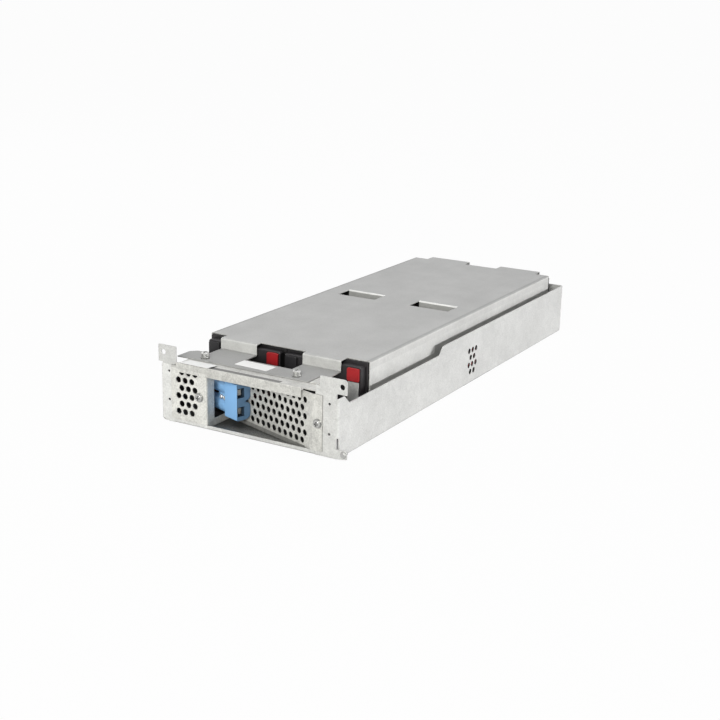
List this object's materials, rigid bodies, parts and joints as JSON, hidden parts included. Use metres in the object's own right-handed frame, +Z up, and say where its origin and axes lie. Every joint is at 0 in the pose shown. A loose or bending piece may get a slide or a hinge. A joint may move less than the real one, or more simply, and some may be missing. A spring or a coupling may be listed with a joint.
{
  "type": "ups battery cartridge",
  "caption": "Long shallow galvanised steel tray of sealed batteries under a folded cover, with a perforated front, a slanted recess holding a blue power connector, and mounting ears.",
  "frame": {"origin": "middle of the tray's underside", "axes": "+X to the right seen from the connector end, +Y from the connector end to the rear, +Z up"},
  "size_m": [0.2119, 0.5368, 0.0765],
  "materials": {
    "tray_steel": "galvanised",
    "cover_steel": "galvanised",
    "front_steel": "galvanised",
    "connector_blue": "matte",
    "contact_silver": "plated",
    "zinc_screws": "zinc plated",
    "battery_case": "matte",
    "battery_lid": "matte",
    "cap_red": "satin",
    "cap_black": "satin",
    "lead_red": "matte",
    "lead_black": "matte",
    "label_white": "matte"
  },
  "bodies": {
    "root": {"battery_container_1": "battery_case", "battery_container_2": "battery_case", "battery_container_3": "battery_case", "battery_container_4": "battery_case", "battery_container_5": "battery_case", "battery_container_6": "battery_case", "battery_container_7": "battery_case", "battery_container_8": "battery_case", "battery_cover_1": "battery_lid", "battery_cover_2": "battery_lid", "battery_cover_3": "battery_lid", "battery_cover_4": "battery_lid", "battery_cover_5": "battery_lid", "battery_cover_6": "battery_lid", "battery_cover_7": "battery_lid", "battery_cover_8": "battery_lid", "bracket_screws": "zinc_screws", "connector_contacts": "contact_silver", "connector_housing": "connector_blue", "connector_screws": "zinc_screws", "cover": "cover_steel", "cover_screws": "zinc_screws", "front_rail": "front_steel", "jumper_leads": "lead_red", "lug_stud": "zinc_screws", "negative_lead": "lead_black", "negative_terminal_caps": "cap_black", "positive_lead": "lead_red", "positive_terminal_caps": "cap_red", "tray": "tray_steel", "vent_bracket": "front_steel"}
  },
  "joints": []
}
